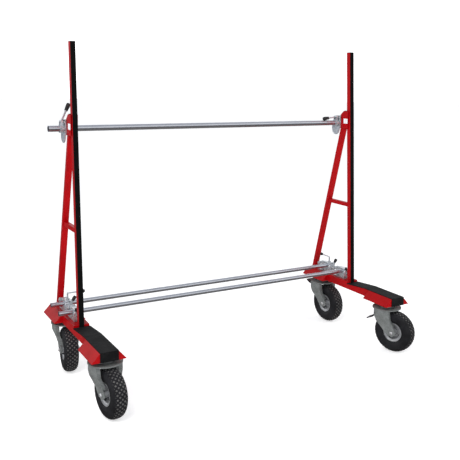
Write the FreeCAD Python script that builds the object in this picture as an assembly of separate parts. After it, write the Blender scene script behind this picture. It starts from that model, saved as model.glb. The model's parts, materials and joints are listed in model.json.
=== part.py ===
import math
import os

import FreeCAD
import Part

# Panel transport trolley, in millimetres. X runs along the three round tubes, Y runs from the
# loading side (-Y) to the rear, Z is up and the floor is z = 0. Two equal side frames stand on
# two swivel castors each. Every tube is held in one lever clamp on each frame.

# Side frames
frame_spacing = 1884.0
top_z = 350.0
step_front_y = 157.5
beam_half_width = 44.0
beam_bottom_z = 300.0
beam_front_y = -70.0
beam_rear_y = 375.0
beam_wall = 4.0
ramp_start_y = -30.0
ramp_low_z = 334.0

# Castor housings: folded sheet with sloping flanks
housing_top_half = 48.0
housing_foot_half = 92.0
housing_drop = 47.0
housing_sheet = 4.0
housing_floor = 5.0
front_housing = (-294.0, -70.0)
rear_housing = (375.0, 614.0)

# Leaning upright with its rubber strip
lean = 84.6 / 1563.0
strip_foot_y = 153.0
strip_thickness = 4.0
upright_half_width = 13.75
upright_depth = 35.1
upright_wall = 2.5
upright_top_z = 1889.0
cap_thickness = 3.0

# Raking brace and its cross tie
brace_slope = 336.4 / 1204.7
brace_y_at_top = 588.5
brace_half_width = 16.5
brace_half_depth = 14.5
brace_wall = 2.0
brace_top_z = 1500.0
tie_low_z = 854.5
tie_high_z = 879.5
tie_half_width = 12.5
tie_wall = 2.0

# Gusset plates at the head of the brace
gusset_thickness = 4.0
gusset_outline = [(232.0, 1499.0), (284.0, 1499.0), (316.0, 1472.0), (318.0, 1384.0), (236.0, 1384.0)]
gusset_bolt_y = 312.0
gusset_bolt_z = (1455.0, 1405.0)
label_box = (237.0, 279.0, 1417.0, 1450.0)
label_thickness = 0.6

# Load pads
pad_thickness = 5.0
pad_half_width = 48.0
bumper_thickness = 5.0

# Round tubes: outer radius, wall, Y and Z of the axis, both ends in X
running_gap = 0.05
tube_data = {
    "upper_tube": (16.85, 2.6, 340.0, 1419.0, -1055.0, 981.0),
    "lower_rear_tube": (13.45, 2.3, 421.0, 400.0, -1039.0, 982.0),
    "lower_front_tube": (13.45, 2.3, 250.0, 400.0, -1042.0, 982.0),
}

# Lower clamps, measured from the axis of their tube
jaw_half_width = 22.0
jaw_reach = 29.0
clamp_flange = (22.0, 31.0, 108.0, 4.0)
flange_screw_x = 15.0
flange_screw_back = 57.0
hinge_back = 96.0
hinge_z = 397.0
cam_x = -5.0
cam_z = 388.0
cam_radius = 26.0
cam_front = 42.0
cam_back = 31.0
pivot_radius = 5.0
screw_radius = 5.0
handle_z = 459.0
handle_reach = 93.0

# Upper clamps
plate_x = (-28.0, -23.0)
plate_outline = [(305.0, 1471.0), (371.0, 1466.0), (393.0, 1412.0), (396.0, 1380.0), (389.0, 1355.0),
                 (370.0, 1341.0), (346.0, 1338.0), (326.0, 1351.0), (307.0, 1392.0)]
collar_x = (-52.0, -28.0)
collar_reach = 29.0
collar_radius = 23.0
upper_pivot_x = -40.0
upper_pivot_z = 1458.0

# Castors
castor_y = {"front": -214.0, "rear": 468.0}
castor_inset = {"left": 6.0, "right": 14.0}
castor_trail = 60.0
wheel_radius = 130.0
axle_radius = 6.0
fork_half_width = 52.0
fork_sheet = 4.0
fork_lip = 15.0
crown_z = 278.0
crown_radius = 90.0
crown_thickness = 6.0
plate_z = 303.0
castor_heading = {
    "left_front": -0.12,
    "left_rear": 0.12,
    "right_front": -0.407,
    "right_rear": -0.07,
}
bolt_grid = (40.0, 52.5)

# Brake pedals, hinged between the legs of the two right-hand forks
pedal_y = 52.0
pedal_z = 245.0
pedal_rest = {"right_front": -42.0, "right_rear": 6.0}
shoe_angle = -134.2
shoe_reach = 22.5

# The origin is put below the middle of the whole trolley
origin_x = -10.5
origin_y = 105.4


def box(x0, x1, y0, y1, z0, z1):
    return Part.makeBox(x1 - x0, y1 - y0, z1 - z0, FreeCAD.Vector(x0, y0, z0))


def side_prism(points, x0, x1):
    """Closed outline given in Y and Z, extruded along X."""
    corners = [FreeCAD.Vector(x0, y, z) for y, z in points]
    corners.append(corners[0])
    face = Part.Face(Part.makePolygon(corners))
    return face.extrude(FreeCAD.Vector(x1 - x0, 0, 0))


def front_prism(points, y0, y1):
    """Closed outline given in X and Z, extruded along Y."""
    corners = [FreeCAD.Vector(x, y0, z) for x, z in points]
    corners.append(corners[0])
    face = Part.Face(Part.makePolygon(corners))
    return face.extrude(FreeCAD.Vector(0, y1 - y0, 0))


def rod_x(radius, x0, x1, y, z):
    return Part.makeCylinder(radius, x1 - x0, FreeCAD.Vector(x0, y, z), FreeCAD.Vector(1, 0, 0))


def rod_y(radius, x, y0, y1, z):
    return Part.makeCylinder(radius, y1 - y0, FreeCAD.Vector(x, y0, z), FreeCAD.Vector(0, 1, 0))


def rod_z(radius, x, y, z0, z1):
    return Part.makeCylinder(radius, z1 - z0, FreeCAD.Vector(x, y, z0))


def hexagon(across, x, y, z0, z1):
    """Hexagonal bolt head or nut on a vertical axis."""
    radius = across / math.sqrt(3.0)
    corners = []
    for step in range(7):
        angle = math.radians(60.0 * step)
        corners.append(FreeCAD.Vector(x + radius * math.cos(angle), y + radius * math.sin(angle), z0))
    return Part.Face(Part.makePolygon(corners)).extrude(FreeCAD.Vector(0, 0, z1 - z0))


def upright_front(z):
    """Y of the steel front face of the upright at a height."""
    return strip_foot_y + strip_thickness + lean * (z - 340.0)


def upright_rear(z):
    return upright_front(z) + upright_depth


def brace_middle(z):
    return brace_y_at_top - brace_slope * (z - top_z)


# ---------------------------------------------------------------- side frame, built about x = 0

def make_beam():
    outer = side_prism([(beam_front_y, beam_bottom_z), (beam_rear_y, beam_bottom_z), (beam_rear_y, top_z),
                        (step_front_y, top_z), (step_front_y, ramp_low_z), (ramp_start_y, top_z),
                        (beam_front_y, top_z)], -beam_half_width, beam_half_width)
    wall = beam_wall
    inner = side_prism([(beam_front_y - wall, beam_bottom_z + wall), (beam_rear_y + wall, beam_bottom_z + wall),
                        (beam_rear_y + wall, top_z - wall), (step_front_y + wall, top_z - wall),
                        (step_front_y + wall, ramp_low_z - wall), (ramp_start_y, top_z - wall),
                        (beam_front_y - wall, top_z - wall)], wall - beam_half_width, beam_half_width - wall)
    beam = outer.cut(inner)
    for x in (-flange_screw_x, flange_screw_x):
        y = tube_data["lower_front_tube"][2] + flange_screw_back
        beam = beam.cut(rod_z(4.0, x, y, top_z - 2 * wall, top_z + 1.0))
    return beam


def make_housing(limits):
    y0, y1 = limits
    low = top_z - housing_drop
    foot = housing_foot_half
    outer = front_prism([(-housing_top_half, top_z), (housing_top_half, top_z), (foot, low), (-foot, low)], y0, y1)
    side = housing_sheet * math.sqrt(2.0)
    high_half = housing_top_half + housing_sheet - side
    low_half = foot - housing_floor - side
    inner = front_prism([(-high_half, top_z - housing_sheet), (high_half, top_z - housing_sheet),
                         (low_half, low + housing_floor), (-low_half, low + housing_floor)],
                        y0 + housing_sheet, y1 - housing_sheet)
    housing = outer.cut(inner)
    if y0 > 0:
        for x in (-flange_screw_x, flange_screw_x):
            y = tube_data["lower_rear_tube"][2] + flange_screw_back
            housing = housing.cut(rod_z(4.0, x, y, top_z - 2 * housing_sheet, top_z + 1.0))
    return housing


def make_upright():
    low = top_z
    outline = [(upright_front(low), low), (upright_rear(low), low),
               (upright_rear(upright_top_z), upright_top_z), (upright_front(upright_top_z), upright_top_z)]
    outer = side_prism(outline, -upright_half_width, upright_half_width)
    high = upright_top_z + 1.0
    low = low - 1.0
    wall = upright_wall
    inside = [(upright_front(low) + wall, low), (upright_rear(low) - wall, low),
              (upright_rear(high) - wall, high), (upright_front(high) + wall, high)]
    return outer.cut(side_prism(inside, wall - upright_half_width, upright_half_width - wall))


def make_strip():
    low = ramp_low_z + pad_thickness + 0.5
    outline = [(upright_front(low) - strip_thickness, low), (upright_front(low), low),
               (upright_front(upright_top_z), upright_top_z),
               (upright_front(upright_top_z) - strip_thickness, upright_top_z)]
    return side_prism(outline, -upright_half_width, upright_half_width).cut(
        box(-50, 50, step_front_y, 400, low - 1, top_z))


def make_brace():
    reach = brace_half_depth
    outline = [(brace_middle(top_z) - reach, top_z), (brace_middle(top_z) + reach, top_z),
               (brace_middle(brace_top_z) + reach, brace_top_z), (brace_middle(brace_top_z) - reach, brace_top_z)]
    outer = side_prism(outline, -brace_half_width, brace_half_width)
    low = top_z - 1.0
    high = brace_top_z + 1.0
    reach = reach - brace_wall
    inside = [(brace_middle(low) - reach, low), (brace_middle(low) + reach, low),
              (brace_middle(high) + reach, high), (brace_middle(high) - reach, high)]
    half = brace_half_width - brace_wall
    brace = outer.cut(side_prism(inside, -half, half))
    low = brace_top_z - 60.0
    upright_zone = [(upright_front(low), low), (upright_rear(low) + 0.05, low),
                    (upright_rear(high) + 0.05, high), (upright_front(high), high)]
    return brace.cut(side_prism(upright_zone, -50, 50))


def make_tie():
    outline = [(upright_rear(tie_low_z), tie_low_z), (brace_middle(tie_low_z) - brace_half_depth, tie_low_z),
               (brace_middle(tie_high_z) - brace_half_depth, tie_high_z), (upright_rear(tie_high_z), tie_high_z)]
    outer = side_prism(outline, -tie_half_width, tie_half_width)
    half = tie_half_width - tie_wall
    return outer.cut(box(-half, half, 0, 600, tie_low_z + tie_wall, tie_high_z - tie_wall))


def make_gussets():
    plates = []
    for x in (-brace_half_width - gusset_thickness, brace_half_width):
        plate = side_prism(gusset_outline, x, x + gusset_thickness)
        for z in gusset_bolt_z:
            plate = plate.cut(rod_x(3.0, x - 1, x + gusset_thickness + 1, gusset_bolt_y, z))
        plates.append(plate)
    return plates


def make_label():
    y0, y1, z0, z1 = label_box
    face = -brace_half_width - gusset_thickness
    return box(face - label_thickness, face, y0, y1, z0, z1)


def make_pads():
    front_y = front_housing[0]
    pad = side_prism([(front_y, top_z), (ramp_start_y, top_z), (step_front_y, ramp_low_z),
                      (step_front_y, ramp_low_z + pad_thickness), (ramp_start_y, top_z + pad_thickness),
                      (front_y, top_z + pad_thickness)], -pad_half_width, pad_half_width)
    bumper = box(-pad_half_width, pad_half_width, front_y - bumper_thickness, front_y,
                 top_z - housing_drop, top_z + pad_thickness)
    return [pad, bumper]


def make_end_caps():
    caps = []
    z0 = upright_top_z
    z1 = z0 + cap_thickness
    half = upright_half_width
    head = side_prism([(upright_front(z0), z0), (upright_rear(z0), z0), (upright_rear(z1), z1),
                       (upright_front(z1), z1)], -half, half)
    inset = upright_wall + 0.1
    low = z0 - 12.0
    plug = side_prism([(upright_front(low) + inset, low), (upright_rear(low) - inset, low),
                       (upright_rear(z0) - inset, z0), (upright_front(z0) + inset, z0)], inset - half, half - inset)
    caps.append(head.fuse(plug).removeSplitter())
    z0 = brace_top_z
    z1 = z0 + cap_thickness
    near = upright_rear(z1) + 0.3
    half = brace_half_width
    head = side_prism([(near, z0), (brace_middle(z0) + brace_half_depth, z0),
                       (brace_middle(z1) + brace_half_depth, z1), (near, z1)], -half, half)
    inset = brace_wall + 0.1
    low = z0 - 10.0
    front = near + inset + 1.0
    plug = side_prism([(front, low), (brace_middle(low) + brace_half_depth - inset, low),
                       (brace_middle(z0) + brace_half_depth - inset, z0), (front, z0)], inset - half, half - inset)
    caps.append(head.fuse(plug).removeSplitter())
    return caps


# ---------------------------------------------------------------- clamps, built about x = 0

def lower_clamp_base(tube_y, tube_z, bore):
    half, front, back, thick = clamp_flange
    floor = top_z + thick
    base = box(-half, half, tube_y - front, tube_y + back, top_z, floor)
    base = base.fuse(box(-jaw_half_width, jaw_half_width, tube_y - jaw_reach, tube_y + jaw_reach, floor, tube_z))
    base = base.fuse(box(-7, 7, tube_y + jaw_reach, tube_y + hinge_back - 12.0, floor, floor + 18.0))
    for x in (-21.0, 15.0):
        ear = box(x, x + 6.0, tube_y + hinge_back - 12.0, tube_y + hinge_back + 12.0, floor, hinge_z)
        base = base.fuse(ear).fuse(rod_x(12.0, x, x + 6.0, tube_y + hinge_back, hinge_z))
    base = base.cut(rod_x(bore, -60, 60, tube_y, tube_z))
    base = base.cut(rod_x(4.0, -60, 60, tube_y + hinge_back, hinge_z))
    base = base.cut(rod_y(pivot_radius, cam_x, tube_y - jaw_reach - 1, tube_y - 20.0, cam_z))
    for x in (-flange_screw_x, flange_screw_x):
        base = base.cut(rod_z(4.0, x, tube_y + flange_screw_back, top_z - 1, floor + 1))
    return base.removeSplitter()


def lower_clamp_cap(tube_y, tube_z, bore, with_screw):
    top = tube_z + 20.0
    cap = box(-jaw_half_width + 2, jaw_half_width - 2, tube_y - jaw_reach, tube_y + jaw_reach, tube_z + 0.5, top)
    hinge_y = tube_y + hinge_back
    arm = side_prism([(tube_y + jaw_reach - 1, tube_z + 5.0), (hinge_y, hinge_z - 9.0), (hinge_y, hinge_z + 11.0),
                      (tube_y + jaw_reach - 1, top)], -14.0, 14.0)
    cap = cap.fuse(arm).fuse(rod_x(11.0, -14.5, 14.5, hinge_y, hinge_z))
    if with_screw:
        cap = cap.fuse(rod_z(10.0, 0, tube_y, top, top + 8.0))
        cap = cap.cut(rod_z(screw_radius + running_gap, 0, tube_y, tube_z, top + 9.0))
    cap = cap.cut(rod_x(bore, -60, 60, tube_y, tube_z))
    return cap.cut(rod_x(4.0, -60, 60, hinge_y, hinge_z)).removeSplitter()


def lower_clamp_bolts(tube_y):
    """Hinge pin, cam bolt and the two flange screws of one lower clamp."""
    hinge_y = tube_y + hinge_back
    pin = rod_x(4.0, -24.0, 24.0, hinge_y, hinge_z).fuse(rod_x(7.0, -26.0, -21.0, hinge_y, hinge_z))
    pin = pin.fuse(rod_x(7.0, 21.0, 26.0, hinge_y, hinge_z)).removeSplitter()
    front = tube_y - cam_front
    cam_bolt = rod_y(pivot_radius, cam_x, front - 3.0, tube_y - 20.0, cam_z)
    cam_bolt = cam_bolt.fuse(rod_y(9.0, cam_x, front - 5.5, front - 0.5, cam_z)).removeSplitter()
    screws = []
    floor = top_z + clamp_flange[3]
    y = tube_y + flange_screw_back
    for x in (-flange_screw_x, flange_screw_x):
        screw = rod_z(4.0, x, y, top_z - 12.0, floor + 1.0)
        screws.append(screw.fuse(hexagon(13.0, x, y, floor, floor + 5.5)).removeSplitter())
    return [pin, cam_bolt] + screws


def lower_lever(tube_y, angle, grip_radius, grip_from, grip_to):
    """Round cam with its arm and grip, turned about the cam bolt; angle 0 points up."""
    front = tube_y - cam_front
    back = tube_y - cam_back
    middle = 0.5 * (front + back)
    lever = rod_y(cam_radius, cam_x, front, back, cam_z)
    lever = lever.fuse(box(cam_x - 7.0, cam_x + 7.0, middle - 4.0, middle + 4.0, cam_z + 15.0,
                           cam_z + grip_from + 2.0))
    lever = lever.fuse(rod_z(grip_radius, cam_x, middle, cam_z + grip_from, cam_z + grip_to))
    lever = lever.cut(rod_y(pivot_radius + running_gap, cam_x, front - 1, back + 1, cam_z)).removeSplitter()
    lever.rotate(FreeCAD.Vector(cam_x, middle, cam_z), FreeCAD.Vector(0, 1, 0), angle)
    return lever


def screw_handle(tube_y, tube_z, tube_radius, direction):
    """Vertical pressure screw with a bent handle and a ball knob; direction in degrees from +X."""
    foot = tube_z + tube_radius + 0.4
    handle = rod_z(screw_radius, 0, tube_y, foot, handle_z)
    handle = handle.fuse(Part.makeSphere(screw_radius, FreeCAD.Vector(0, tube_y, handle_z)))
    handle = handle.fuse(rod_x(4.5, 0, handle_reach, tube_y, handle_z))
    handle = handle.fuse(Part.makeSphere(9.0, FreeCAD.Vector(handle_reach, tube_y, handle_z))).removeSplitter()
    handle.rotate(FreeCAD.Vector(0, tube_y, 0), FreeCAD.Vector(0, 0, 1), direction)
    return handle


def upper_clamp_base(tube_y, tube_z, bore):
    x0, x1 = plate_x
    base = side_prism(plate_outline, x0, x1)
    base = base.fuse(box(x1, -brace_half_width - gusset_thickness, 307.0, 317.0, 1393.0, 1470.0))
    sleeve = rod_x(collar_radius, collar_x[0], x0, tube_y, tube_z)
    base = base.fuse(sleeve.common(box(-90, 0, tube_y - 40, tube_y + 40, tube_z - 40, tube_z)))
    base = base.fuse(box(collar_x[0] + 3.0, x0, tube_y - collar_reach, tube_y + collar_reach, tube_z - 6.0, tube_z))
    base = base.cut(rod_x(bore, -90, 90, tube_y, tube_z))
    for z in gusset_bolt_z:
        base = base.cut(rod_x(3.0, -90, 90, gusset_bolt_y, z))
        base = base.cut(rod_x(5.3, x0 - 4.5, x0, gusset_bolt_y, z))
    return base.removeSplitter()


def upper_clamp_cap(tube_y, tube_z, bore):
    top = tube_z + 27.0
    x0 = collar_x[0]
    x1 = collar_x[1] - 0.3
    split = tube_z + 0.5
    cap = rod_x(collar_radius, x0, x1, tube_y, tube_z).common(box(-90, 0, tube_y - 40, tube_y + 40, split, top))
    cap = cap.fuse(box(x0 + 3.0, x1, tube_y - collar_reach, tube_y + collar_reach, split, tube_z + 6.0))
    cap = cap.fuse(box(upper_pivot_x - 9.0, upper_pivot_x + 9.0, tube_y - 15.0, tube_y + 15.0, tube_z + 17.5, top))
    for side in (-15.0, 9.0):
        ear = box(upper_pivot_x - 9.0, upper_pivot_x + 9.0, tube_y + side, tube_y + side + 6.0, top - 1.0,
                  upper_pivot_z)
        ear = ear.fuse(rod_y(9.0, upper_pivot_x, tube_y + side, tube_y + side + 6.0, upper_pivot_z))
        cap = cap.fuse(ear)
    cap = cap.cut(rod_x(bore, -90, 90, tube_y, tube_z))
    return cap.cut(rod_y(4.0, upper_pivot_x, tube_y - 30, tube_y + 30, upper_pivot_z)).removeSplitter()


def upper_clamp_bolts(tube_y):
    """Lever pin and the two bolts that hold the clamp plate to the gussets."""
    pin = rod_y(4.0, upper_pivot_x, tube_y - 18.0, tube_y + 18.0, upper_pivot_z)
    pin = pin.fuse(rod_y(7.0, upper_pivot_x, tube_y - 19.0, tube_y - 15.0, upper_pivot_z))
    pins = [pin.fuse(rod_y(7.0, upper_pivot_x, tube_y + 15.0, tube_y + 19.0, upper_pivot_z)).removeSplitter()]
    far = brace_half_width + gusset_thickness
    for z in gusset_bolt_z:
        bolt = rod_x(3.0, plate_x[0] - 3.0, far + 6.0, gusset_bolt_y, z)
        bolt = bolt.fuse(rod_x(5.0, plate_x[0] - 4.0, plate_x[0], gusset_bolt_y, z))
        pins.append(bolt.fuse(rod_x(5.0, far, far + 5.0, gusset_bolt_y, z)).removeSplitter())
    return pins


def upper_lever(tube_y, angle):
    """Cam lever on top of the upper clamp; angle 0 points up."""
    lever = rod_y(8.5, upper_pivot_x, tube_y - 8.5, tube_y + 8.5, upper_pivot_z)
    lever = lever.fuse(box(upper_pivot_x - 5.0, upper_pivot_x + 5.0, tube_y - 4.0, tube_y + 4.0, upper_pivot_z,
                           upper_pivot_z + 64.0))
    lever = lever.fuse(rod_z(9.0, upper_pivot_x, tube_y, upper_pivot_z + 62.0, upper_pivot_z + 106.0))
    lever = lever.cut(rod_y(4.0 + running_gap, upper_pivot_x, tube_y - 30, tube_y + 30, upper_pivot_z))
    lever = lever.removeSplitter()
    lever.rotate(FreeCAD.Vector(upper_pivot_x, tube_y, upper_pivot_z), FreeCAD.Vector(0, 1, 0), angle)
    return lever


# ---------------------------------------------------------------- castor, built heading along +Y

def make_swivel_plate():
    plate = box(-55, 55, -70, 70, plate_z - 6.0, plate_z)
    plate = plate.fuse(rod_z(36.0, 0, 0, crown_z + 8.0, plate_z - 6.0))
    plate = plate.fuse(rod_z(8.0, 0, 0, crown_z - 14.5, crown_z + 8.0))
    plate = plate.fuse(hexagon(22.0, 0, 0, crown_z - 15.0, crown_z - crown_thickness - 0.5))
    for x in (-bolt_grid[0], bolt_grid[0]):
        for y in (-bolt_grid[1], bolt_grid[1]):
            plate = plate.cut(rod_z(5.0, x, y, plate_z - 7.0, plate_z + 1.0))
    return plate.removeSplitter()


def castor_bolts():
    bolts = []
    for x in (-bolt_grid[0], bolt_grid[0]):
        for y in (-bolt_grid[1], bolt_grid[1]):
            bolt = rod_z(5.0, x, y, plate_z - 6.0, plate_z + 17.0)
            bolt = bolt.fuse(hexagon(16.0, x, y, plate_z - 12.0, plate_z - 6.0))
            bolts.append(bolt.fuse(hexagon(16.0, x, y, plate_z + housing_floor, plate_z + 13.0)).removeSplitter())
    return bolts


def rounded_wire(half_x, half_y, radius, z):
    """Level outline of a rectangle with rounded corners."""
    lines = []
    corners = [(1, 1, 0), (-1, 1, 90), (-1, -1, 180), (1, -1, 270)]
    ends = []
    for sx, sy, start in corners:
        middle = FreeCAD.Vector(sx * (half_x - radius), sy * (half_y - radius), z)
        arc = Part.makeCircle(radius, middle, FreeCAD.Vector(0, 0, 1), start, start + 90)
        ends.append((arc.Vertexes[0].Point, arc.Vertexes[1].Point))
        lines.append(arc)
    edges = []
    for number in range(4):
        edges.append(lines[number])
        edges.append(Part.makeLine(ends[number][1], ends[(number + 1) % 4][0]))
    return Part.Wire(edges)


def fork_hood(offset):
    """Solid under the crown: round at the top, flat sided where it grips the axle."""
    levels = [(85.0, 85.0, 80.0, crown_z - 2.0), (83.0, 85.0, 74.0, 236.0), (62.0, 88.0, 40.0, 186.0),
              (fork_half_width, 90.0, 20.0, 150.0), (fork_half_width, 90.0, 20.0, 90.0)]
    hood = None
    for upper, lower in zip(levels[:-1], levels[1:]):
        wires = []
        for half_x, half_y, radius, z in (upper, lower):
            wires.append(rounded_wire(half_x - offset, half_y - offset, radius - offset, z))
        piece = Part.makeLoft(wires, True, True)
        hood = piece if hood is None else hood.fuse(piece)
    return hood


def make_fork(with_brake):
    """Pressed fork: two tapering legs, lipped along one edge, under a round crown with the race."""
    under = crown_z - crown_thickness
    axle_y = -castor_trail
    leg = side_prism([(-45.0, crown_z - 2.0), (58.0, crown_z - 2.0), (58.0, crown_z - 40.0), (44.0, 212.0),
                      (38.0, 190.0), (axle_y + 48.0, wheel_radius - 2.0), (axle_y + 30.0, wheel_radius - 17.0),
                      (axle_y + 10.0, wheel_radius - 22.0), (axle_y - 23.5, wheel_radius + 5.0),
                      (axle_y - 2.0, wheel_radius + 54.0), (-51.0, 210.0)], -95.0, 95.0)
    leg = leg.fuse(rod_x(24.0, -95.0, 95.0, axle_y, wheel_radius))
    fork = fork_hood(0.0).cut(fork_hood(fork_sheet)).common(leg)
    edge = [(-45.0, crown_z - 2.0), (-51.0, 210.0), (axle_y - 2.0, wheel_radius + 54.0),
            (axle_y - 13.0, wheel_radius + 29.0)]
    edge += [(y + fork_sheet, z) for y, z in reversed(edge)]
    lip = fork_hood(0.0).cut(fork_hood(fork_sheet + fork_lip)).common(side_prism(edge, -95.0, 95.0))
    fork = fork.fuse(lip.cut(box(-36.0, 36.0, -95.0, 0.0, 150.0, 190.0)))
    fork = fork.fuse(rod_z(crown_radius, 0, 0, under, crown_z))
    fork = fork.fuse(rod_z(46.0, 0, 0, crown_z - 1.0, crown_z + 15.0))
    fork = fork.cut(rod_z(36.5, 0, 0, crown_z, crown_z + 19.0))
    fork = fork.cut(rod_z(8.0 + running_gap, 0, 0, crown_z - 20.0, crown_z + 30.0))
    fork = fork.cut(rod_x(axle_radius, -60, 60, axle_y, wheel_radius))
    if with_brake:
        fork = fork.cut(rod_x(4.0 + running_gap, -90, 90, pedal_y, pedal_z))
    return fork


def make_axle():
    y = -castor_trail
    z = wheel_radius
    axle = rod_x(axle_radius, -57.0, 57.0, y, z)
    for side in (-1, 1):
        face = side * fork_half_width
        end = face + side * 9.0
        head = rod_x(11.0, min(face, face + side * 5.0), max(face, face + side * 5.0), y, z)
        dome = Part.makeSphere(11.0, FreeCAD.Vector(face, y, z)).common(
            rod_x(11.0, min(face, end), max(face, end), y, z))
        inside = side * (fork_half_width - fork_sheet)
        hub_end = side * 45.4
        spacer = rod_x(9.5, min(inside, hub_end), max(inside, hub_end), y, z)
        axle = axle.fuse(head).fuse(dome).fuse(spacer)
    return axle.removeSplitter()


def wheel_profile(points):
    """Outline in axial distance and radius, turned about the axle."""
    corners = [FreeCAD.Vector(x, -castor_trail, wheel_radius + r) for x, r in points]
    corners.append(corners[0])
    face = Part.Face(Part.makePolygon(corners))
    return face.revolve(FreeCAD.Vector(0, -castor_trail, wheel_radius), FreeCAD.Vector(1, 0, 0), 360)


def make_rim():
    bore = axle_radius + running_gap
    half = [(3.0, 20.0), (3.0, 38.0), (20.0, 44.5), (27.0, 45.5), (30.5, 50.0), (33.0, 57.5), (35.0, 57.5),
            (35.0, 60.5), (31.0, 60.0), (27.5, 50.5), (25.0, 48.5), (0.0, 48.5)]
    points = [(-45.0, bore), (45.0, bore), (45.0, 17.0), (14.0, 17.0), (10.0, 20.0)]
    points += half
    points += [(-x, r) for x, r in reversed(half[:-1])]
    points += [(-10.0, 20.0), (-14.0, 17.0), (-45.0, 17.0)]
    rim = wheel_profile(points)
    y = -castor_trail
    for step in range(4):
        angle = math.radians(45.0 + 90.0 * step)
        at_y = y + 29.0 * math.cos(angle)
        at_z = wheel_radius + 29.0 * math.sin(angle)
        rim = rim.fuse(rod_x(6.0, -8.0, 8.0, at_y, at_z))
    return rim.removeSplitter()


def make_tyre():
    outer = [(27.4, 51.6), (30.3, 61.0), (34.5, 63.0), (38.5, 74.0), (41.0, 88.0), (40.5, 100.0), (37.5, 111.5),
             (32.0, 119.5), (24.0, 125.5), (13.0, 129.0), (0.0, 130.0)]
    inner = [(0.0, 119.0), (13.0, 118.0), (22.5, 114.0), (28.5, 106.0), (32.0, 96.0), (32.0, 84.0), (29.0, 73.0),
             (23.0, 64.0), (20.0, 56.0), (20.0, 49.0), (25.0, 49.0)]
    points = outer[:]
    points += [(-x, r) for x, r in reversed(outer[:-1])]
    points += [(-x, r) for x, r in reversed(inner[1:])]
    points += inner
    return wheel_profile(points)


def make_pedal(angle):
    """Foot pedal with its brake shoe; angle 0 is level, positive lifts the foot plate."""
    pedal = rod_x(4.0, -66.0, 66.0, pedal_y, pedal_z)
    pedal = pedal.fuse(rod_x(7.0, -48.0, 48.0, pedal_y, pedal_z))
    plate = side_prism([(pedal_y, pedal_z - 4.0), (pedal_y + 50.0, pedal_z - 12.5), (pedal_y + 88.0, pedal_z + 0.5),
                        (pedal_y + 87.0, pedal_z + 6.0), (pedal_y + 50.0, pedal_z - 5.5),
                        (pedal_y, pedal_z + 2.0)], -40.0, 18.0)
    reach = math.radians(shoe_angle - pedal_rest["right_front"])
    shoe_y = pedal_y + shoe_reach * math.cos(reach)
    shoe_z = pedal_z + shoe_reach * math.sin(reach)
    arm = side_prism([(pedal_y - 3.0, pedal_z + 3.0), (pedal_y + 3.0, pedal_z - 3.0), (shoe_y + 3.0, shoe_z - 3.0),
                      (shoe_y - 3.0, shoe_z + 3.0)], -12.0, 12.0)
    pedal = pedal.fuse(plate).fuse(arm).fuse(rod_x(6.0, -20.0, 20.0, shoe_y, shoe_z)).removeSplitter()
    pedal.rotate(FreeCAD.Vector(0, pedal_y, pedal_z), FreeCAD.Vector(1, 0, 0), angle)
    return pedal


def turned(shape, name, side):
    """Puts a castor piece under its housing at its own heading."""
    moved = shape.copy()
    moved.rotate(FreeCAD.Vector(0, 0, 0), FreeCAD.Vector(0, 0, 1), -math.degrees(castor_heading[name]))
    moved.translate(castor_place(name, side))
    return moved


def castor_place(name, side):
    word, end = name.split("_")
    return FreeCAD.Vector(side * (frame_spacing / 2.0 - castor_inset[word]), castor_y[end], 0)


# ---------------------------------------------------------------- assembly

def moved_frame(pieces, side):
    """Copies pieces built about x = 0 to one side frame."""
    if not isinstance(pieces, list):
        pieces = [pieces]
    copies = []
    for piece in pieces:
        copy = piece.copy()
        copy.translate(FreeCAD.Vector(side * frame_spacing / 2.0, 0, 0))
        copies.append(copy)
    return copies


def make_tube(name):
    radius, wall, y, z, x0, x1 = tube_data[name]
    return rod_x(radius, x0, x1, y, z).cut(rod_x(radius - wall, x0 - 1, x1 + 1, y, z))


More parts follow.
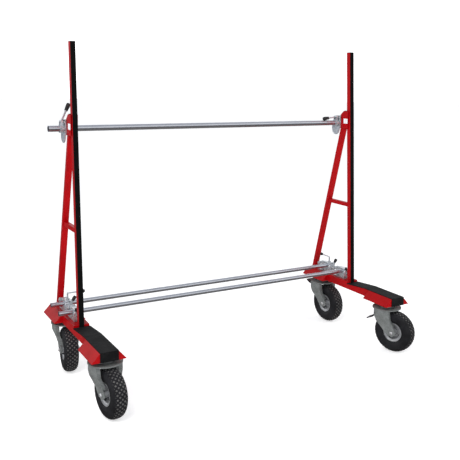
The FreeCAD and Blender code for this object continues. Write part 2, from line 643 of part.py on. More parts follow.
def build_nodes():
    nodes = {}
    bores = {}
    for name in tube_data:
        bores[name] = tube_data[name][0] + running_gap
    upper_y, upper_z = tube_data["upper_tube"][2:4]
    rear_y, rear_z = tube_data["lower_rear_tube"][2:4]
    front_y, front_z = tube_data["lower_front_tube"][2:4]
    lower_bore = bores["lower_rear_tube"]
    bases = [upper_clamp_base(upper_y, upper_z, bores["upper_tube"]),
             lower_clamp_base(rear_y, rear_z, lower_bore), lower_clamp_base(front_y, front_z, lower_bore)]
    caps = [upper_clamp_cap(upper_y, upper_z, bores["upper_tube"]),
            lower_clamp_cap(rear_y, rear_z, lower_bore, True),
            lower_clamp_cap(front_y, front_z, lower_bore, False)]
    clamp_fixings = upper_clamp_bolts(upper_y) + lower_clamp_bolts(rear_y) + lower_clamp_bolts(front_y)
    frame_pieces = {
        "base_beam": make_beam(),
        "castor_housings": [make_housing(front_housing), make_housing(rear_housing)],
        "upright": make_upright(),
        "upright_strip": make_strip(),
        "brace": make_brace(),
        "cross_tie": make_tie(),
        "gussets": make_gussets(),
        "blank_label": make_label(),
        "load_pads": make_pads(),
        "end_caps": make_end_caps(),
        "clamp_bases": bases,
        "clamp_caps": caps,
        "lower_rear_lever": lower_lever(rear_y, 34.5, 8.5, 44.0, 69.0),
        "lower_front_lever": lower_lever(front_y, -12.0, 7.0, 24.0, 42.0),
    }
    for word, side in (("left", -1), ("right", 1)):
        for name, pieces in frame_pieces.items():
            nodes[word + "_" + name] = moved_frame(pieces, side)
        lever_angle = 24.0 if side < 0 else -96.0
        nodes[word + "_upper_lever"] = moved_frame(upper_lever(upper_y, lever_angle), side)
        handle_angle = 0.0 if side < 0 else 90.0
        handle = screw_handle(rear_y, rear_z, tube_data["lower_rear_tube"][0], handle_angle)
        nodes[word + "_screw_handle"] = moved_frame(handle, side)
        fixings = moved_frame(clamp_fixings, side)
        for end in ("front", "rear"):
            place = castor_place(word + "_" + end, side)
            for bolt in castor_bolts():
                bolt.translate(place)
                fixings.append(bolt)
            plate = make_swivel_plate()
            plate.translate(place)
            nodes[word + "_" + end + "_swivel_plate"] = [plate]
        nodes[word + "_frame_bolts"] = fixings
        for number, end in enumerate(("front", "rear")):
            holes = []
            place = castor_place(word + "_" + end, side)
            for x in (-bolt_grid[0], bolt_grid[0]):
                for y in (-bolt_grid[1], bolt_grid[1]):
                    holes.append(rod_z(5.0, place.x + x, place.y + y, plate_z - 1, plate_z + 10))
            housing = nodes[word + "_castor_housings"][number]
            for hole in holes:
                housing = housing.cut(hole)
            nodes[word + "_castor_housings"][number] = housing
            name = word + "_" + end
            braked = name in pedal_rest
            nodes[name + "_fork"] = [turned(make_fork(braked), name, side)]
            nodes[name + "_axle"] = [turned(make_axle(), name, side)]
            nodes[name + "_rim"] = [turned(make_rim(), name, side)]
            nodes[name + "_tyre"] = [turned(make_tyre(), name, side)]
            if braked:
                nodes[name + "_brake_pedal"] = [turned(make_pedal(pedal_rest[name]), name, side)]
    for name in tube_data:
        nodes[name] = [make_tube(name)]
    return nodes


nodes = build_nodes()
os.makedirs("parts", exist_ok=True)
for name, pieces in nodes.items():
    for piece in pieces:
        piece.translate(FreeCAD.Vector(-origin_x, -origin_y, 0))
    shape = pieces[0] if len(pieces) == 1 else Part.makeCompound(pieces)
    shape.exportStep("parts/" + name + ".step")
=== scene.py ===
import json
import math

import bmesh
import bpy
import numpy as np
from mathutils import Matrix, Vector


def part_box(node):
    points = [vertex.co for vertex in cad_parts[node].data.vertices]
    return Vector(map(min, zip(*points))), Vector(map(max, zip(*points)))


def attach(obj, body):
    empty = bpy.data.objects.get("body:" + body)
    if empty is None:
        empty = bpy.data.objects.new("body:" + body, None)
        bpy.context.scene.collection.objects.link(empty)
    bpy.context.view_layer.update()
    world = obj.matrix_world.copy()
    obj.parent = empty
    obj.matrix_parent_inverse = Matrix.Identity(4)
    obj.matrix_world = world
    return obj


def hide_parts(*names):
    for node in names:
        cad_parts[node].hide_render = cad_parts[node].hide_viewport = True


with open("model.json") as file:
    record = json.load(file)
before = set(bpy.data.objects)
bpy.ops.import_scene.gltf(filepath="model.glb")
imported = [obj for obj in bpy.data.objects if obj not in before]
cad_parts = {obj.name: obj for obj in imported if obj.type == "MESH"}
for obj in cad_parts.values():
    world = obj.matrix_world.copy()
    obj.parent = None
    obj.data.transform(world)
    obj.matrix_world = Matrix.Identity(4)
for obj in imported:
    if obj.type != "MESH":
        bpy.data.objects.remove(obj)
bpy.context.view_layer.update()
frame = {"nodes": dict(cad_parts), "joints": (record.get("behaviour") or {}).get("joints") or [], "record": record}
nodes = frame["nodes"]
joints = {joint["name"]: joint for joint in frame["joints"]}

sides = ("left", "right")
castors = ("left_front", "left_rear", "right_front", "right_rear")

# Rest angles of the levers from straight up, positive towards +X, in degrees
upper_lever_angle = {"left": 24.0, "right": -96.0}
rear_lever_angle = 34.5
front_lever_angle = -12.0
handle_direction = {"left": 0.0, "right": 90.0}

# Reach of the screw handles from their screws, in metres, and the size of their knobs
handle_reach = 0.093
handle_end_radius = 0.009
knob_radius = 0.0108

# Tyre: outer radius, lozenge tread and sidewall rings, in metres
tyre_radius = 0.130
tread_pitches = 34
tread_row = 0.0125
tread_depth = 0.0034
tread_slot_share = 0.2
tread_edge = 0.042
tread_fade = 0.008
tread_top_reach = 0.036
ring_places = (0.0705, 0.0745, 0.098)
ring_height = 0.0007
ring_width = 0.0011

# Welds, in metres
weld_radius = 0.0026
tie_weld_radius = 0.0018
weld_step = 0.0011
upright_depth = 0.0351
brace_depth = 0.029
beam_half_width = 0.044

# Floor and backdrop, in metres
floor_reach = 200.0
wall_radius = 60.0
wall_steps = 48


# ---------------------------------------------------------------- material helpers

class Surface:
    """A node material with short calls for the textures that it needs."""

    def __init__(self, name, metallic=0.0, roughness=0.5):
        self.material = bpy.data.materials.new(name)
        self.material.use_nodes = True
        self.tree = self.material.node_tree
        self.shader = self.tree.nodes["Principled BSDF"]
        self.shader.inputs["Metallic"].default_value = metallic
        self.shader.inputs["Roughness"].default_value = roughness
        self.place = self.tree.nodes.new("ShaderNodeTexCoord").outputs["Object"]

    def link(self, a, b):
        self.tree.links.new(a, b)

    def set(self, name, value):
        self.shader.inputs[name].default_value = value

    def stretch(self, scale):
        node = self.tree.nodes.new("ShaderNodeMapping")
        node.inputs["Scale"].default_value = scale
        self.link(self.place, node.inputs["Vector"])
        return node.outputs["Vector"]

    def noise(self, scale, detail=3.0, roughness=0.5, place=None):
        node = self.tree.nodes.new("ShaderNodeTexNoise")
        node.inputs["Scale"].default_value = scale
        node.inputs["Detail"].default_value = detail
        node.inputs["Roughness"].default_value = roughness
        self.link(place or self.place, node.inputs["Vector"])
        return node.outputs["Fac"]

    def cells(self, scale, place=None, output="Distance"):
        node = self.tree.nodes.new("ShaderNodeTexVoronoi")
        node.inputs["Scale"].default_value = scale
        self.link(place or self.place, node.inputs["Vector"])
        return node.outputs[output]

    def ramp(self, value, stops):
        node = self.tree.nodes.new("ShaderNodeValToRGB")
        while len(node.color_ramp.elements) < len(stops):
            node.color_ramp.elements.new(0.5)
        for element, (position, colour) in zip(node.color_ramp.elements, stops):
            element.position = position
            element.color = (*colour, 1.0) if len(colour) == 3 else (colour[0],) * 3 + (1.0,)
        self.link(value, node.inputs["Fac"])
        return node.outputs["Color"]

    def mix(self, value, a, b, blend="MIX"):
        node = self.tree.nodes.new("ShaderNodeMix")
        node.data_type = "RGBA"
        node.blend_type = blend
        for socket, source in ((node.inputs[0], value), (node.inputs[6], a), (node.inputs[7], b)):
            if isinstance(source, bpy.types.NodeSocket):
                self.link(source, socket)
            else:
                socket.default_value = source if isinstance(source, float) else (*source, 1.0)
        return node.outputs[2]

    def crevice(self, reach):
        """Painted shade: nearly 0 in corners and gaps closer than reach metres, 1 in the open."""
        node = self.tree.nodes.new("ShaderNodeAmbientOcclusion")
        node.samples = 8
        node.inputs["Distance"].default_value = reach
        return self.ramp(node.outputs["AO"], [(0.1, (0.0,)), (0.85, (1.0,))])

    def colour(self, value):
        self.link(value, self.shader.inputs["Base Color"])

    def gloss(self, value, low, high):
        """Roughness that runs from low to high with a texture value."""
        node = self.tree.nodes.new("ShaderNodeMapRange")
        node.inputs["To Min"].default_value = low
        node.inputs["To Max"].default_value = high
        self.link(value, node.inputs["Value"])
        self.link(node.outputs["Result"], self.shader.inputs["Roughness"])

    def bump(self, height, depth, strength=1.0, edge=0.0):
        """Bump of the given depth in metres, over edges that look rounded by edge metres."""
        node = self.tree.nodes.new("ShaderNodeBump")
        node.inputs["Distance"].default_value = depth
        node.inputs["Strength"].default_value = strength
        self.link(height, node.inputs["Height"])
        if edge:
            bevel = self.tree.nodes.new("ShaderNodeBevel")
            bevel.samples = 4
            bevel.inputs["Radius"].default_value = edge
            self.link(bevel.outputs["Normal"], node.inputs["Normal"])
        self.link(node.outputs["Normal"], self.shader.inputs["Normal"])


def red_paint():
    """Powder coat with a fine orange-peel skin and a few dull scuffs."""
    s = Surface("red_powder_coat", 0.0, 0.34)
    tone = s.noise(9.0, 4.0, 0.6)
    base = s.ramp(tone, [(0.3, (0.30, 0.0007, 0.0024)), (0.7, (0.39, 0.001, 0.0034))])
    speck = s.ramp(s.noise(420.0, 2.0, 0.6), [(0.66, (0.0,)), (0.74, (1.0,))])
    patch = s.ramp(s.noise(14.0, 5.0, 0.7), [(0.54, (0.0,)), (0.72, (0.35,))])
    wear = s.mix(1.0, speck, patch, "MULTIPLY")
    s.colour(s.mix(wear, base, (0.2, 0.05, 0.045)))
    s.gloss(s.noise(26.0, 4.0, 0.6), 0.26, 0.44)
    s.set("Specular IOR Level", 0.1)
    s.set("Coat Weight", 0.02)
    s.set("Coat Roughness", 0.12)
    s.bump(s.noise(650.0, 2.0, 0.5), 0.00012, 0.5, 0.0016)
    return s.material


def rubber(name, dark, light, grain, roughness):
    """Matt rubber with a fine grain and grey dust lying in patches."""
    s = Surface(name, 0.0, roughness)
    dust = s.ramp(s.noise(11.0, 6.0, 0.7), [(0.42, (0.0,)), (0.75, (0.6,))])
    fleck = s.ramp(s.noise(310.0, 2.0, 0.6), [(0.5, (0.2,)), (0.72, (1.0,))])
    s.colour(s.mix(s.mix(1.0, dust, fleck, "MULTIPLY"), dark, light))
    s.gloss(s.noise(40.0, 4.0, 0.6), roughness - 0.12, roughness + 0.1)
    s.set("Specular IOR Level", 0.16)
    s.bump(s.noise(grain, 3.0, 0.6), 0.0003, 0.6, 0.0012)
    return s.material


def zinc(name, dark, light, low, high, mottle, metallic=1.0, scratch=(40.0, 40.0, 600.0), edge=0.0008):
    """Zinc plated steel: faint crystals, cloudy tone and fine scratches, with painted shade darkening its corners
    and gaps.
    """
    s = Surface(name, metallic, 0.3)
    cloud = s.noise(mottle, 5.0, 0.65)
    crystal = s.cells(mottle * 9.0, output="Color")
    grey = s.tree.nodes.new("ShaderNodeRGBToBW")
    s.link(crystal, grey.inputs[0])
    blend = s.mix(0.25, cloud, grey.outputs[0])
    plating = s.ramp(blend, [(0.25, dark), (0.72, light)])
    # painted shade: the plating colour turns near black in corners and gaps between parts
    s.colour(s.mix(s.crevice(0.014), (0.03, 0.032, 0.036), plating))
    s.gloss(s.noise(mottle * 3.0, 5.0, 0.7), low, high)
    s.bump(s.noise(1.0, 3.0, 0.6, s.stretch(scratch)), 0.00006, 0.5, edge)
    return s.material


def galvanised_tube():
    """Drawn tube: lengthwise draw lines, soft spangle and a few dull patches."""
    s = Surface("galvanised_tube", 1.0, 0.25)
    lines = s.noise(1.0, 4.0, 0.6, s.stretch((3.0, 900.0, 900.0)))
    cloud = s.noise(1.0, 4.0, 0.6, s.stretch((9.0, 60.0, 60.0)))
    tone = s.mix(0.5, cloud, lines)
    s.colour(s.ramp(tone, [(0.3, (0.56, 0.58, 0.63)), (0.7, (0.74, 0.76, 0.82))]))
    s.gloss(cloud, 0.22, 0.34)
    s.bump(lines, 0.00004, 0.4)
    return s.material


def plastic(name, colour, roughness, grain=900.0):
    """Moulded plastic with a fine spark-eroded grain."""
    s = Surface(name, 0.0, roughness)
    tone = s.noise(30.0, 4.0, 0.6)
    lighter = tuple(min(1.0, c * 1.25 + 0.006) for c in colour)
    s.colour(s.ramp(tone, [(0.35, colour), (0.7, lighter)]))
    s.gloss(s.noise(60.0, 3.0, 0.6), roughness - 0.06, roughness + 0.08)
    s.bump(s.noise(grain, 2.0, 0.5), 0.0001, 0.5, 0.0006)
    return s.material


def tyre_rubber(name, dark, light):
    """Moulded rubber with dust on it."""
    s = Surface(name, 0.0, 0.6)
    dust = s.ramp(s.noise(16.0, 6.0, 0.7), [(0.4, (0.0,)), (0.72, (0.7,))])
    s.colour(s.mix(dust, dark, light))
    s.gloss(s.noise(60.0, 4.0, 0.6), 0.46, 0.7)
    s.set("Specular IOR Level", 0.3)
    s.bump(s.noise(900.0, 2.0, 0.5), 0.00012, 0.5)
    return s.material


paint = red_paint()
black_rubber = rubber("black_rubber", (0.0045, 0.0045, 0.005), (0.05, 0.052, 0.052), 700.0, 0.72)
strip_rubber = rubber("strip_rubber", (0.0015, 0.0015, 0.0015), (0.012, 0.012, 0.012), 900.0, 0.8)
clamp_zinc = zinc("clamp_zinc", (0.5, 0.54, 0.58), (0.86, 0.89, 0.93), 0.2, 0.38, 30.0, 0.72)
bolt_zinc = zinc("bolt_zinc", (0.75, 0.76, 0.78), (0.94, 0.94, 0.95), 0.16, 0.3, 60.0, 0.75)
fork_zinc = zinc("fork_zinc", (0.13, 0.14, 0.137), (0.27, 0.285, 0.28), 0.42, 0.6, 22.0, 0.35)
rim_zinc = zinc("rim_zinc", (0.36, 0.37, 0.38), (0.62, 0.63, 0.65), 0.28, 0.46, 26.0, 0.7)
tube_zinc = galvanised_tube()
black_plastic = plastic("black_plastic", (0.009, 0.009, 0.009), 0.42)
pedal_black = plastic("pedal_black", (0.009, 0.009, 0.01), 0.42, 300.0)
white_film = plastic("white_film", (0.74, 0.74, 0.76), 0.4, 200.0)
tyre_black = tyre_rubber("tyre_rubber", (0.006, 0.006, 0.0075), (0.022, 0.022, 0.026))
tread_top = tyre_rubber("tread_top", (0.055, 0.053, 0.052), (0.17, 0.165, 0.16))

slot_material = {
    "red_paint": paint,
    "black_rubber": black_rubber,
    "white_label": white_film,
    "black_plastic": black_plastic,
    "clamp_zinc": clamp_zinc,
    "bolt_zinc": bolt_zinc,
    "fork_zinc": fork_zinc,
    "rim_zinc": rim_zinc,
    "tyre_rubber": tyre_black,
    "pedal_black": pedal_black,
    "galvanised_tube": tube_zinc,
}

for part in frame["record"]["subparts"]:
    mesh = nodes[part["node"]].data
    mesh.materials.clear()
    mesh.materials.append(slot_material[part["material_slot"]])

for side in sides:
    nodes[side + "_upright_strip"].data.materials[0] = strip_rubber


# ---------------------------------------------------------------- mesh helpers

def add_piece(name, points, faces, material, body, smooth=True):
    mesh = bpy.data.meshes.new(name)
    mesh.from_pydata([tuple(p) for p in points], [], faces)
    mesh.materials.append(material)
    if smooth:
        mesh.shade_smooth()
    piece = bpy.data.objects.new(name, mesh)
    bpy.context.scene.collection.objects.link(piece)
    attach(piece, body)
    return piece


def spline(points, steps):
    """Smooth open curve through the points, as an array."""
    p = np.array([points[0]] + list(points) + [points[-1]], float)
    out = []
    for i in range(1, len(p) - 2):
        for k in range(steps):
            t = k / steps
            a = 2.0 * p[i]
            b = (p[i + 1] - p[i - 1]) * t
            c = (2.0 * p[i - 1] - 5.0 * p[i] + 4.0 * p[i + 1] - p[i + 2]) * t * t
            d = (3.0 * p[i] - p[i - 1] - 3.0 * p[i + 1] + p[i + 2]) * t ** 3
            out.append(0.5 * (a + b + c + d))
    out.append(p[-2])
    return np.array(out)


def facing(origin, axis, up=(0.0, 0.0, 1.0)):
    """Matrix that puts local Z along axis at origin."""
    z = Vector(axis).normalized()
    x = Vector(up).cross(z)
    if x.length < 1e-4:
        x = Vector((1.0, 0.0, 0.0))
    x.normalize()
    turn = Matrix((x, z.cross(x), z)).transposed().to_4x4()
    return Matrix.Translation(Vector(origin)) @ turn


def lathe(name, profile, steps, place, material, body, ripple=None):
    """Turned piece from (radius, along) points; ripple(angle, along) changes the radius."""
    points = []
    faces = []
    rows = len(profile)
    for radius, along in profile:
        for k in range(steps):
            a = 2.0 * math.pi * k / steps
            r = radius + (ripple(a, along) if ripple and radius > 1e-6 else 0.0)
            points.append(place @ Vector((r * math.cos(a), r * math.sin(a), along)))
    for i in range(rows - 1):
        for k in range(steps):
            n = (k + 1) % steps
            faces.append((i * steps + k, i * steps + n, (i + 1) * steps + n, (i + 1) * steps + k))
    mesh = bpy.data.meshes.new(name)
    mesh.from_pydata([tuple(p) for p in points], [], faces)
    work = bmesh.new()
    work.from_mesh(mesh)
    bmesh.ops.remove_doubles(work, verts=work.verts, dist=1e-6)
    bmesh.ops.recalc_face_normals(work, faces=work.faces)
    work.to_mesh(mesh)
    work.free()
    mesh.materials.append(material)
    mesh.shade_smooth()
    piece = bpy.data.objects.new(name, mesh)
    bpy.context.scene.collection.objects.link(piece)
    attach(piece, body)
    return piece


# ---------------------------------------------------------------- tyres

def tyre_outline():
    """Half section of the tyre from the middle of the tread to the bead, as (across, radius)."""
    outside = spline([(0.0, 0.1300), (0.012, 0.1293), (0.023, 0.1262), (0.0315, 0.1203), (0.0375, 0.1115),
                      (0.0405, 0.1000), (0.0408, 0.0880), (0.0385, 0.0750), (0.0345, 0.0650),
                      (0.0305, 0.0610), (0.0285, 0.0560), (0.0280, 0.0515)], 9)
    inside = np.array([(0.0250, 0.0492), (0.0200, 0.0492)])
    return np.concatenate([outside, inside])


def make_tyre(name):
    joint = joints[name + "_wheel_spin"]
    half = tyre_outline()
    across = np.concatenate([-half[::-1], half[1:]])
    across[:len(half), 1] = half[::-1, 1]
    steps = np.hypot(np.diff(across[:, 0]), np.diff(across[:, 1]))
    travel = np.concatenate([[0.0], np.cumsum(steps)])
    travel -= travel[len(half) - 1]
    normal = np.stack([-np.gradient(across[:, 1]), np.gradient(across[:, 0])], axis=1)
    normal /= np.linalg.norm(normal, axis=1)[:, None]
    around = tread_pitches * 12
    place = facing(joint["pos_m"], joint["axis"])
    turn = np.array(place.to_3x3())
    centre = np.array(place.translation)
    angle = 2.0 * np.pi * np.arange(around) / around
    s, t = np.meshgrid(angle / (2.0 * np.pi) * tread_pitches, travel / (2.0 * tread_row), indexing="ij")
    cut = np.zeros_like(s)
    for value in (s + t, s - t):
        gap = np.abs(value - np.round(value))
        cut = np.maximum(cut, np.clip((tread_slot_share - gap) / (tread_slot_share * 0.55), 0.0, 1.0))
    reach = np.abs(travel)[None, :]
    fade = np.clip((tread_edge - reach) / tread_fade, 0.0, 1.0)
    depth = tread_depth * cut * fade
    rings = 0.0
    for middle in ring_places:
        rings = rings + ring_height * np.exp(-((reach - middle) / ring_width) ** 2)
    shift = -depth + rings
    x = across[None, :, 0] + shift * normal[None, :, 0]
    r = np.minimum(across[None, :, 1] + shift * normal[None, :, 1], tyre_radius)
    local = np.stack([r * np.cos(angle)[:, None], r * np.sin(angle)[:, None], x * np.ones_like(r)], axis=2)
    points = local.reshape(-1, 3) @ turn.T + centre
    rows = len(across)
    faces = []
    for k in range(around):
        n = (k + 1) % around
        for i in range(rows - 1):
            faces.append((k * rows + i, n * rows + i, n * rows + i + 1, k * rows + i + 1))
        faces.append((k * rows + rows - 1, n * rows + rows - 1, n * rows, k * rows))
    piece = add_piece(name + "_tyre_tread", points, faces, tyre_black, name + "_wheel")
    piece.data.materials.append(tread_top)
    raised = (cut < 0.05) & (reach < tread_top_reach)
    for face in piece.data.polygons:
        if all(raised[corner // rows, corner % rows] for corner in face.vertices):
            face.material_index = 1
    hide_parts(name + "_tyre")


for castor in castors:
    make_tyre(castor)


# ---------------------------------------------------------------- grips and knobs

# Outlines of the grips as shares of (radius, length)
barrel_grip = [(0.0, 0.0), (0.62, 0.0), (0.86, 0.01), (0.92, 0.05), (0.84, 0.1), (0.88, 0.2), (1.0, 0.42),
               (1.04, 0.66), (0.98, 0.84), (0.78, 0.95), (0.42, 0.995), (0.0, 1.0)]
stub_grip = [(0.0, 0.0), (0.9, 0.0), (1.0, 0.02), (1.0, 0.5), (1.0, 0.955), (0.92, 0.985), (0.6, 0.999),
             (0.0, 1.0)]


def grip_profile(outline, radius, start, end):
    """Grip outline along a lever, from start to end."""
    length = end - start
    return [(radius * r, start + length * z) for r, z in spline(outline, 4)]


def tilt(degrees):
    """Direction of a lever turned from straight up towards +X."""
    a = math.radians(degrees)
    return Vector((math.sin(a), 0.0, math.cos(a)))


def lever_grip(name, joint_name, node, body, angle, outline, radius, start, end):
    """Black grip over the end of a lever, in line with the middle of its arm."""
    low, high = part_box(node)
    origin = Vector(joints[joint_name]["pos_m"])
    origin.y = 0.5 * (low[1] + high[1])
    place = facing(origin, tilt(angle), (0.0, 1.0, 0.0))
    profile = grip_profile(outline, radius, start, end)
    return lathe(name, profile, 32, place, black_plastic, body)


def ball_knob(side):
    """Round knob with a short neck on the end of a screw handle."""
    low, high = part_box(side + "_screw_handle")
    a = math.radians(handle_direction[side])
    outward = Vector((math.cos(a), math.sin(a), 0.0))
    axis = Vector(joints[side + "_screw_handle_turn"]["pos_m"])
    centre = axis + outward * handle_reach
    centre.z = high[2] - handle_end_radius
    profile = [(0.0, -0.019), (0.0058, -0.019), (0.0064, -0.0175), (0.0066, -0.011)]
    for step in range(4, 19):
        t = math.pi * step / 18.0
        profile.append((knob_radius * math.sin(t), -knob_radius * math.cos(t)))
    profile[-1] = (0.0, knob_radius)
    place = facing(centre, outward)
    return lathe(side + "_screw_handle_knob", profile, 32, place, black_plastic,
                 side + "_screw_handle_crank")


def valve_stem(name):
    """Rubber valve that leans out of the rim well, on the outer side of the wheel."""
    joint = joints[name + "_wheel_spin"]
    middle = Vector(joint["pos_m"])
    axle = Vector(joint["axis"]).normalized()
    if axle.x > 0.0:
        axle = -axle
    spoke = Vector((0.0, 0.0, -1.0)).cross(axle)
    spoke = (spoke.normalized() * 0.5 + Vector((0.0, 0.0, -0.86))).normalized()
    foot = middle + spoke * 0.0475 + axle * 0.014
    direction = (axle * 0.9 - spoke * 0.44).normalized()
    profile = [(0.0, -0.002), (0.0062, -0.002), (0.0062, 0.002), (0.0044, 0.005), (0.0042, 0.015),
               (0.0034, 0.016), (0.0034, 0.022), (0.0028, 0.024), (0.0, 0.024)]
    return lathe(name + "_valve", profile, 20, facing(foot, direction), black_plastic, name + "_wheel")


for side in sides:
    lever_grip(side + "_upper_lever_grip", side + "_upper_lever_hinge", side + "_upper_lever",
               side + "_upper_lever_arm", upper_lever_angle[side], barrel_grip, 0.0115, 0.064, 0.109)
    lever_grip(side + "_rear_lever_grip", side + "_lower_rear_lever_hinge", side + "_lower_rear_lever",
               side + "_lower_rear_lever_arm", rear_lever_angle, barrel_grip, 0.0102, 0.041, 0.0715)
    lever_grip(side + "_front_lever_grip", side + "_lower_front_lever_hinge", side + "_lower_front_lever",
               side + "_lower_front_lever_arm", front_lever_angle, stub_grip, 0.00715, 0.0236, 0.0427)
    ball_knob(side)

for castor in castors:
    valve_stem(castor)


# ---------------------------------------------------------------- weld beads

def weld_bead(name, corners, radius, body):
    """Painted fillet weld with overlapping ripples along straight runs between the corners."""
    route = []
    for start, end in zip(corners[:-1], corners[1:]):
        a = np.array(start)
        b = np.array(end)
        count = max(2, int(np.linalg.norm(b - a) / weld_step))
        for k in range(count):
            route.append(a + (b - a) * k / count)
    route.append(np.array(corners[-1]))
    route = np.array(route)
    ahead = np.gradient(route, axis=0)
    ahead /= np.linalg.norm(ahead, axis=1)[:, None]
    points = []
    sectors = 8
    for k, (middle, along) in enumerate(zip(route, ahead)):
        across = np.cross(along, (0.31, 0.52, 0.79))
        across /= np.linalg.norm(across)
        other = np.cross(along, across)
        taper = min(1.0, 0.45 + 0.2 * k, 0.45 + 0.2 * (len(route) - 1 - k))
        r = radius * taper * (1.0 + 0.16 * math.sin(1.9 * k) + 0.07 * math.sin(0.37 * k))
        for n in range(sectors):
            a = 2.0 * math.pi * n / sectors
            points.append(middle + r * (math.cos(a) * across + math.sin(a) * other))
    faces = []
    last = len(route) - 1
    for k in range(last):
        for n in range(sectors):
            m = (n + 1) % sectors
            faces.append((k * sectors + n, k * sectors + m, (k + 1) * sectors + m, (k + 1) * sectors + n))
    faces.append(tuple(range(sectors))[::-1])
    faces.append(tuple(last * sectors + n for n in range(sectors)))
    return add_piece(name, points, faces, paint, body)


def frame_welds(side):
    """Beads where the upright, the brace and the cross tie meet, and at the ends of the beam."""
    body = side + "_frame"
    up_low, up_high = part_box(side + "_upright")
    beam_low, beam_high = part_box(side + "_base_beam")
    brace_low, brace_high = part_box(side + "_brace")
    tie_low, tie_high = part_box(side + "_cross_tie")
    x0 = up_low[0]
    x1 = up_high[0]
    z = beam_high[2] + 0.0006
    y0 = up_low[1] + 0.002
    y1 = up_low[1] + upright_depth
    weld_bead(side + "_upright_foot_weld", [(x0, y0, z), (x0, y1, z), (x1, y1, z), (x1, y0, z)],
              weld_radius, body)
    x0 = brace_low[0]
    x1 = brace_high[0]
    y1 = brace_high[1]
    y0 = y1 - brace_depth
    weld_bead(side + "_brace_foot_weld", [(x0, y1, z), (x0, y0, z), (x1, y0, z), (x1, y1, z), (x0, y1, z)],
              weld_radius, body)
    y = tie_low[1] + 0.0008
    for level, height in (("low", tie_low[2]), ("high", tie_high[2])):
        weld_bead(side + "_tie_front_weld_" + level, [(tie_low[0], y, height), (tie_high[0], y, height)],
                  tie_weld_radius, body)
    middle = 0.5 * (beam_low[0] + beam_high[0])
    for word, y, shift in (("front", beam_low[1], 0.0006), ("rear", beam_high[1], -0.0006)):
        for number, x in enumerate((middle - beam_half_width, middle + beam_half_width)):
            weld_bead(side + "_" + word + "_housing_weld_" + str(number),
                      [(x, y + shift, beam_low[2] + 0.006), (x, y + shift, beam_high[2] - 0.001)],
                      weld_radius, body)


for side in sides:
    frame_welds(side)

# ---------------------------------------------------------------- camera, floor and light

camera_place = (-2.05604, -3.64079, 1.68994)
camera_yaw = 0.5295
camera_pitch = -0.1244
camera_roll = 0.0139


def add_camera():
    """Camera at the stored place; yaw is from +Y towards +X and roll lifts the right-hand side."""
    right = Vector((math.cos(camera_yaw), -math.sin(camera_yaw), 0.0))
    forward = Vector((math.sin(camera_yaw) * math.cos(camera_pitch),
                      math.cos(camera_yaw) * math.cos(camera_pitch), math.sin(camera_pitch)))
    upward = right.cross(forward)
    tilted_right = math.cos(camera_roll) * right + math.sin(camera_roll) * upward
    tilted_up = -math.sin(camera_roll) * right + math.cos(camera_roll) * upward
    turn = Matrix((tilted_right, tilted_up, -forward)).transposed().to_4x4()
    data = bpy.data.cameras.new("camera")
    data.sensor_width = 36.0
    data.lens = 55.44
    data.shift_x = -0.0361
    data.shift_y = -0.1304
    data.clip_end = 500.0
    camera = bpy.data.objects.new("camera", data)
    camera.matrix_world = Matrix.Translation(camera_place) @ turn
    bpy.context.scene.collection.objects.link(camera)
    bpy.context.scene.camera = camera


def stage_piece(name, points, faces, surface):
    """Floor or backdrop that mirrors and shiny metal don't show."""
    surface.set("Emission Color", (1.0, 1.0, 1.0, 1.0))
    mesh = bpy.data.meshes.new(name)
    mesh.from_pydata(points, [], faces)
    mesh.materials.append(surface.material)
    piece = bpy.data.objects.new(name, mesh)
    bpy.context.scene.collection.objects.link(piece)
    piece.visible_glossy = False
    return piece


def add_floor():
    surface = Surface("floor", 0.0, 0.75)
    surface.colour(surface.ramp(surface.noise(0.8, 2.0), [(0.3, (0.8, 0.8, 0.8)), (0.7, (0.82, 0.82, 0.82))]))
    surface.set("Specular IOR Level", 0.1)
    surface.set("Emission Strength", 0.46)
    far = floor_reach
    stage_piece("floor", [(-far, -far, 0.0), (far, -far, 0.0), (far, far, 0.0), (-far, far, 0.0)],
                [(0, 1, 2, 3)], surface)


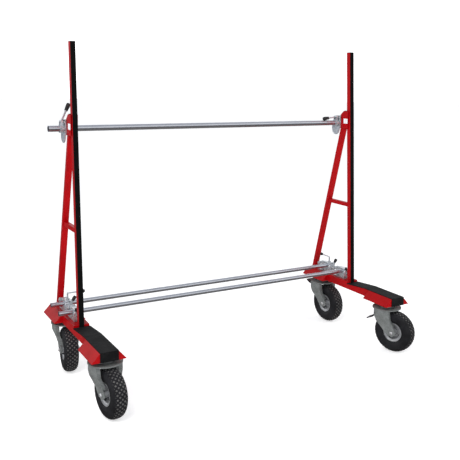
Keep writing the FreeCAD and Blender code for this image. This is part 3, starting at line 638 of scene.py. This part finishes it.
def add_backdrop():
    """White wall round the floor, seen by the camera but not by the light on the object."""
    points = []
    faces = []
    for step in range(wall_steps):
        a = 2.0 * math.pi * step / wall_steps
        points.append((wall_radius * math.cos(a), wall_radius * math.sin(a), 0.0))
        points.append((wall_radius * math.cos(a), wall_radius * math.sin(a), wall_radius))
        n = (step + 1) % wall_steps
        faces.append((2 * step, 2 * n, 2 * n + 1, 2 * step + 1))
    surface = Surface("backdrop", 0.0, 1.0)
    surface.colour(surface.ramp(surface.noise(0.01), [(0.3, (0.79, 0.79, 0.79)), (0.7, (0.8, 0.8, 0.8))]))
    surface.set("Specular IOR Level", 0.0)
    surface.set("Emission Strength", 1.0)
    wall = stage_piece("backdrop", points, faces, surface)
    wall.visible_diffuse = False
    wall.visible_shadow = False



def add_sky():
    """World with a dark ground, a blue-grey horizon and a white sky that darkens overhead."""
    world = bpy.data.worlds.new("studio")
    bpy.context.scene.world = world
    world.use_nodes = True
    tree = world.node_tree
    background = tree.nodes["Background"]
    place = tree.nodes.new("ShaderNodeTexCoord").outputs["Generated"]
    split = tree.nodes.new("ShaderNodeSeparateXYZ")
    tree.links.new(place, split.inputs["Vector"])
    lift = tree.nodes.new("ShaderNodeMapRange")
    lift.inputs["From Min"].default_value = -1.0
    lift.inputs["From Max"].default_value = 1.0
    tree.links.new(split.outputs["Z"], lift.inputs["Value"])
    shade = tree.nodes.new("ShaderNodeValToRGB")
    bands = [(0.0, (0.2, 0.192, 0.185)), (0.43, (0.11, 0.105, 0.1)), (0.5, (0.3, 0.33, 0.4)),
             (0.6, (1.0, 1.0, 1.0)), (0.72, (1.0, 1.0, 1.0)), (0.9, (0.45, 0.47, 0.51))]
    while len(shade.color_ramp.elements) < len(bands):
        shade.color_ramp.elements.new(0.5)
    for element, (position, value) in zip(shade.color_ramp.elements, bands):
        element.position = position
        element.color = (*value, 1.0)
    tree.links.new(lift.outputs["Result"], shade.inputs["Fac"])
    tree.links.new(shade.outputs["Color"], background.inputs["Color"])
    background.inputs["Strength"].default_value = 1.0


def area_light(name, location, target, size, power):
    data = bpy.data.lights.new(name, "AREA")
    data.shape = "DISK"
    data.size = size
    data.energy = power
    light = bpy.data.objects.new(name, data)
    light.location = location
    light.visible_glossy = False
    light.rotation_mode = "QUATERNION"
    light.rotation_quaternion = (Vector(location) - Vector(target)).to_track_quat("Z", "Y")
    bpy.context.scene.collection.objects.link(light)


add_camera()
add_floor()
add_backdrop()
add_sky()
area_light("key", (-3.6, -3.4, 4.4), (0.0, 0.0, 0.6), 2.6, 190.0)
area_light("fill", (4.0, -2.6, 2.6), (0.2, 0.0, 0.6), 3.0, 60.0)

bpy.context.scene.view_settings.view_transform = "Standard"
